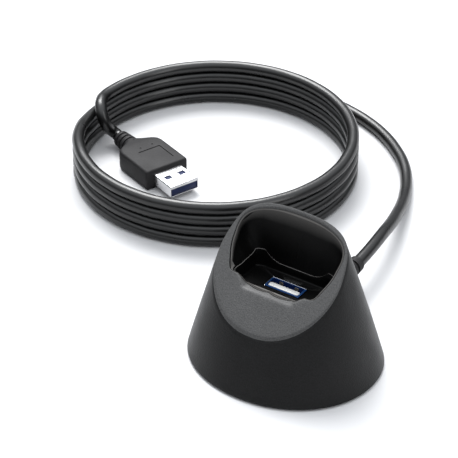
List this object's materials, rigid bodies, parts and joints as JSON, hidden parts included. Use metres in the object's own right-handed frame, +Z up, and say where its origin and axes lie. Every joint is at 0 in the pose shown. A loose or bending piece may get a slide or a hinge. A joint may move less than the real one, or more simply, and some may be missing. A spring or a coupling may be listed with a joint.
{
  "type": "desktop dock for a usb adapter",
  "caption": "Oval cone stand with a slanted face, a deep docking cup with a receptacle in its well, and a coiled extension cord ending in a plug.",
  "frame": {"origin": "centre of the stand's oval base, on the floor", "axes": "+Z up, -Y towards the low side of the slanted face, X along the receptacle's long side; the cord leaves towards +Y"},
  "size_m": [0.1675, 0.1731, 0.0505],
  "materials": {
    "black_plastic": "fine grained, satin",
    "grey_plastic": "fine grained, satin",
    "cup_plastic": "smooth satin",
    "rubber": "matt",
    "steel": "zinc plated",
    "bright_sheet": "nickel plated sheet",
    "blue_plastic": "moulded blue",
    "white_plastic": "moulded ivory",
    "gold_contact": "gold plated",
    "board": "solder mask",
    "chip": "moulded chip",
    "soft_black": "soft moulded, satin",
    "cord_jacket": "satin jacket",
    "wire_jacket": "thin wire jacket"
  },
  "bodies": {
    "dock": {"cone_shell": "black_plastic", "face_plate": "grey_plastic", "docking_cup": "cup_plastic", "base_cover": "black_plastic", "rubber_feet": "rubber", "base_screws": "steel", "ballast_plate": "steel", "insert_screws": "steel", "receptacle_shell": "bright_sheet", "receptacle_body": "blue_plastic", "contact_carrier": "white_plastic", "contact_pads": "gold_contact", "circuit_board": "board", "board_parts": "chip", "board_screws": "steel", "strain_relief": "soft_black", "cord_clamp": "black_plastic", "clamp_screws": "steel", "inner_cord": "cord_jacket", "core_wires": "wire_jacket", "cord_lead": "cord_jacket", "cord_coil": "cord_jacket", "cord_tail": "cord_jacket", "plug_grip": "soft_black", "plug_neck": "soft_black", "plug_shell": "bright_sheet", "plug_insulator": "blue_plastic", "plug_contact_pads": "gold_contact"},
    "contacts": {"contact_springs": "gold_contact"},
    "latch_left": {"latch_spring_left": "bright_sheet"},
    "latch_right": {"latch_spring_right": "bright_sheet"}
  },
  "joints": [
    {"name": "contacts_press", "type": "hinge", "parent": "dock", "child": "contacts", "pos_m": [0, -0.00043, 0.0184], "axis": [1, 0, 0], "range_deg": [0, 4.5], "stiffness_Nm_per_rad": 0.01},
    {"name": "latch_left_press", "type": "hinge", "parent": "dock", "child": "latch_left", "pos_m": [-0.0029, 0.00208, 0.01615], "axis": [-1, 0, 0], "range_deg": [0, 3.5], "stiffness_Nm_per_rad": 0.01},
    {"name": "latch_right_press", "type": "hinge", "parent": "dock", "child": "latch_right", "pos_m": [0.0029, 0.00208, 0.01615], "axis": [-1, 0, 0], "range_deg": [0, 3.5], "stiffness_Nm_per_rad": 0.01}
  ]
}
